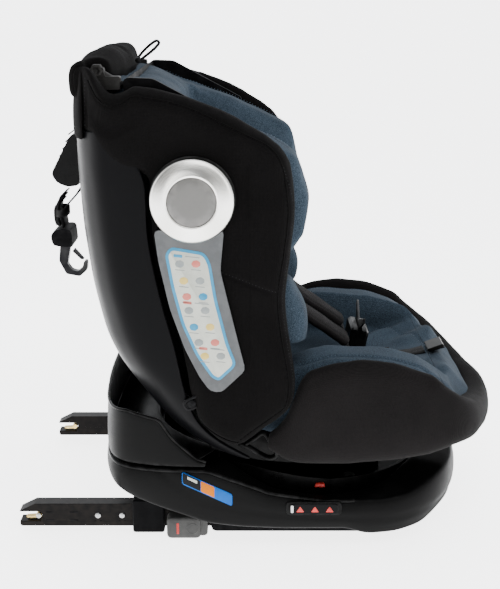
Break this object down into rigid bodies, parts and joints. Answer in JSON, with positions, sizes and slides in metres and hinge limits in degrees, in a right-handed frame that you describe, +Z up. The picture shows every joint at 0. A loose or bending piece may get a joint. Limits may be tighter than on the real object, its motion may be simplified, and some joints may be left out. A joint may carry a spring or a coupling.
{
  "type": "convertible car seat",
  "caption": "Padded child car seat on a swivelling, reclining base with slide-out anchor arms, side protectors, height-adjustable headrest, harness and rear tether.",
  "frame": {"origin": "foot of the swivel axis on the floor, under the anti-slip mat", "axes": "+Z up the swivel axis, -Y the way the seat faces at rest, +Y towards the vehicle seat back and out of the anchor arms, +X the occupant's left"},
  "size_m": [0.471, 0.567, 0.5553],
  "materials": {
    "base_plastic": "satin",
    "shell_plastic": "gloss",
    "black_fabric": "woven",
    "blue_fabric": "woven melange",
    "pad_fabric": "knitted",
    "webbing": "woven",
    "mat_rubber": "matte",
    "plated_steel": "plated",
    "arm_steel": "black satin",
    "pawl_brass": "yellow plated",
    "protector_silver": "brushed",
    "grip_grey": "satin",
    "panel_grey": "satin",
    "button_red": "gloss",
    "window_black": "gloss"
  },
  "bodies": {
    "base": {"base_casing": "base_plastic", "floor_tray": "base_plastic", "anti_slip_mat": "mat_rubber", "swivel_race": "plated_steel", "king_pin": "plated_steel", "king_nut": "plated_steel", "side_rail_left": "base_plastic", "side_rail_right": "base_plastic", "anchor_sleeve_left": "base_plastic", "anchor_sleeve_right": "base_plastic", "position_window_left": "window_black", "position_window_right": "window_black"},
    "anchor_frame": {"anchor_arm_left": "arm_steel", "anchor_arm_right": "arm_steel", "anchor_crossbar": "plated_steel"},
    "pawl_left": {"anchor_pawl_left": "pawl_brass"},
    "pawl_right": {"anchor_pawl_right": "pawl_brass"},
    "grip_left": {"release_grip_left": "grip_grey"},
    "grip_right": {"release_grip_right": "grip_grey"},
    "carriage": {"turntable": "shell_plastic", "turntable_skirt": "base_plastic"},
    "lock_pin": {"swivel_lock_pin": "plated_steel"},
    "seat": {"seat_pan": "shell_plastic", "back_shell": "shell_plastic", "wing_cover_left": "black_fabric", "wing_cover_right": "black_fabric", "top_roll": "black_fabric", "back_pad": "black_fabric", "seat_cushion": "blue_fabric", "seat_side_left": "black_fabric", "seat_side_right": "black_fabric", "seat_front": "black_fabric", "body_insert": "blue_fabric", "side_protector_left": "protector_silver", "side_protector_right": "protector_silver", "label_panel_left": "panel_grey", "label_panel_right": "panel_grey", "shoulder_strap_left": "webbing", "shoulder_strap_right": "webbing", "shoulder_pad_left": "pad_fabric", "shoulder_pad_right": "pad_fabric", "buckle_housing": "base_plastic", "buckle_tongue": "plated_steel", "crotch_pad": "pad_fabric", "adjuster_strap": "webbing", "belt_guide_left": "grip_grey", "belt_guide_right": "grip_grey", "tether_strap": "webbing", "tether_adjuster": "base_plastic", "tether_hook": "plated_steel"},
    "button": {"buckle_button": "button_red"},
    "adjuster": {"harness_adjuster": "base_plastic"},
    "handle": {"recline_handle": "grip_grey"},
    "lever": {"swivel_lever": "shell_plastic"},
    "flap": {"back_flap": "base_plastic"},
    "gate": {"tether_gate": "plated_steel"},
    "headrest": {"headrest_frame": "black_fabric", "headrest_pad": "blue_fabric", "pull_loop": "webbing"}
  },
  "joints": [
    {"name": "anchor_slide", "type": "slide", "parent": "base", "child": "anchor_frame", "axis": [0, -1, 0], "range_m": [0, 0.09]},
    {"name": "pawl_left", "type": "hinge", "parent": "anchor_frame", "child": "pawl_left", "pos_m": [-0.14, 0.295, 0.02], "axis": [1, 0, 0], "range_deg": [0, 24], "stiffness_Nm_per_rad": 0.05},
    {"name": "pawl_right", "type": "hinge", "parent": "anchor_frame", "child": "pawl_right", "pos_m": [0.14, 0.295, 0.02], "axis": [1, 0, 0], "range_deg": [0, 24], "stiffness_Nm_per_rad": 0.05},
    {"name": "grip_left", "type": "slide", "parent": "base", "child": "grip_left", "axis": [1, 0, 0], "range_m": [0, 0.005], "stiffness_N_per_m": 800},
    {"name": "grip_right", "type": "slide", "parent": "base", "child": "grip_right", "axis": [-1, 0, 0], "range_m": [0, 0.005], "stiffness_N_per_m": 800},
    {"name": "swivel", "type": "hinge", "parent": "base", "child": "carriage", "pos_m": [0, 0, 0.05], "axis": [0, 0, 1], "continuous": true},
    {"name": "swivel_lock", "type": "slide", "parent": "carriage", "child": "lock_pin", "axis": [0, 0, 1], "range_m": [0, 0.01]},
    {"name": "swivel_lever", "type": "slide", "parent": "seat", "child": "lever", "axis": [-1, 0, 0], "range_m": [0, 0.008], "stiffness_N_per_m": 600},
    {"name": "recline", "type": "hinge", "parent": "carriage", "child": "seat", "pos_m": [0, 0, 0.35], "axis": [-1, 0, 0], "range_deg": [0, 15]},
    {"name": "recline_handle", "type": "slide", "parent": "seat", "child": "handle", "axis": [0, -1, 0], "range_m": [0, 0.012], "stiffness_N_per_m": 600},
    {"name": "headrest_height", "type": "slide", "parent": "seat", "child": "headrest", "axis": [0, 0.1564, 0.9877], "range_m": [0, 0.14]},
    {"name": "buckle_press", "type": "slide", "parent": "seat", "child": "button", "axis": [0, 0.9848, 0.1736], "range_m": [0, 0.002], "stiffness_N_per_m": 500},
    {"name": "adjuster_lift", "type": "hinge", "parent": "seat", "child": "adjuster", "pos_m": [0, -0.193, 0.1826], "axis": [1, 0, 0], "range_deg": [0, 20], "stiffness_Nm_per_rad": 0.1},
    {"name": "flap_lift", "type": "hinge", "parent": "seat", "child": "flap", "pos_m": [-0.034, 0.2435, 0.4545], "axis": [1, 0, 0], "range_deg": [0, 40]},
    {"name": "gate_press", "type": "hinge", "parent": "seat", "child": "gate", "pos_m": [-0.04, 0.258, 0.3125], "axis": [1, 0, 0], "range_deg": [0, 18], "stiffness_Nm_per_rad": 0.02}
  ],
  "couplings": [
    {"joint": "swivel_lock", "follows": "swivel_lever", "ratio": 1.25}
  ]
}
